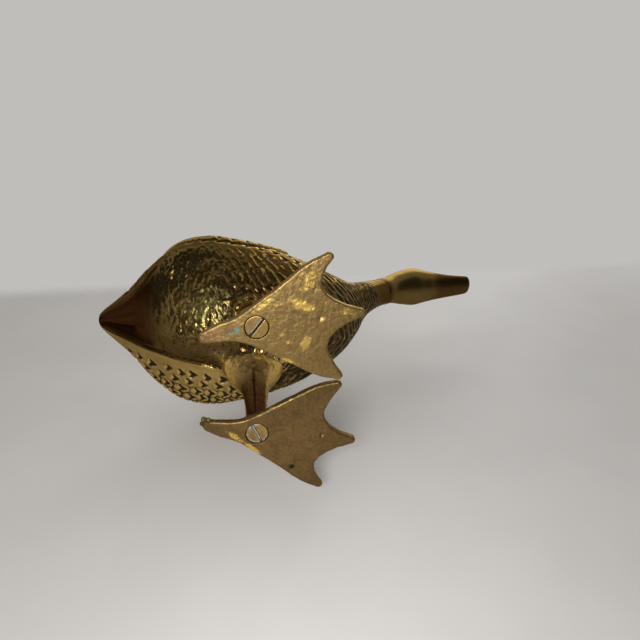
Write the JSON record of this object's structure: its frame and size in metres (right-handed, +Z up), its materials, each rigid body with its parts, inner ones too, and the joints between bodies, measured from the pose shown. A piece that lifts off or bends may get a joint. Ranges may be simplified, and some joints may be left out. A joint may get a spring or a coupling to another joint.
{
  "type": "duck figurine",
  "caption": "Cast brass duck figurine standing on webbed feet: hollow split body with folded wings, long neck and flat bill, each foot held to its leg by a countersunk slotted screw",
  "frame": {"origin": "bottom centre of the bounding box, on the plane of the soles", "axes": "+X towards the bill, +Y the bird's left, +Z up"},
  "size_m": [0.236, 0.1082, 0.1507],
  "materials": {
    "polished_brass": "polished cast brass with dark patina in the feather marks",
    "cast_brass": "rough cast brass, lightly brushed",
    "sole_brass": "matt aged brass, worn bright on edges",
    "screw_brass": "filed brass screw head"
  },
  "bodies": {
    "bird": {"body_left_half": "polished_brass", "body_right_half": "polished_brass", "neck_head": "polished_brass", "left_leg": "cast_brass", "right_leg": "cast_brass"},
    "left_foot_plate": {"left_foot": "sole_brass"},
    "right_foot_plate": {"right_foot": "sole_brass"},
    "left_screw": {"left_foot_screw": "screw_brass"},
    "right_screw": {"right_foot_screw": "screw_brass"}
  },
  "joints": [
    {"name": "left_foot_swivel", "type": "hinge", "parent": "bird", "child": "left_foot_plate", "pos_m": [-0.0365, 0.0242, 0], "axis": [0, 0, 1], "range_deg": [0, 40]},
    {"name": "right_foot_swivel", "type": "hinge", "parent": "bird", "child": "right_foot_plate", "pos_m": [-0.0365, -0.0242, 0], "axis": [0, 0, -1], "range_deg": [0, 40]},
    {"name": "left_screw_turn", "type": "hinge", "parent": "bird", "child": "left_screw", "pos_m": [-0.0365, 0.0242, 0], "axis": [0, 0, 1], "continuous": true},
    {"name": "right_screw_turn", "type": "hinge", "parent": "bird", "child": "right_screw", "pos_m": [-0.0365, -0.0242, 0], "axis": [0, 0, 1], "continuous": true}
  ]
}
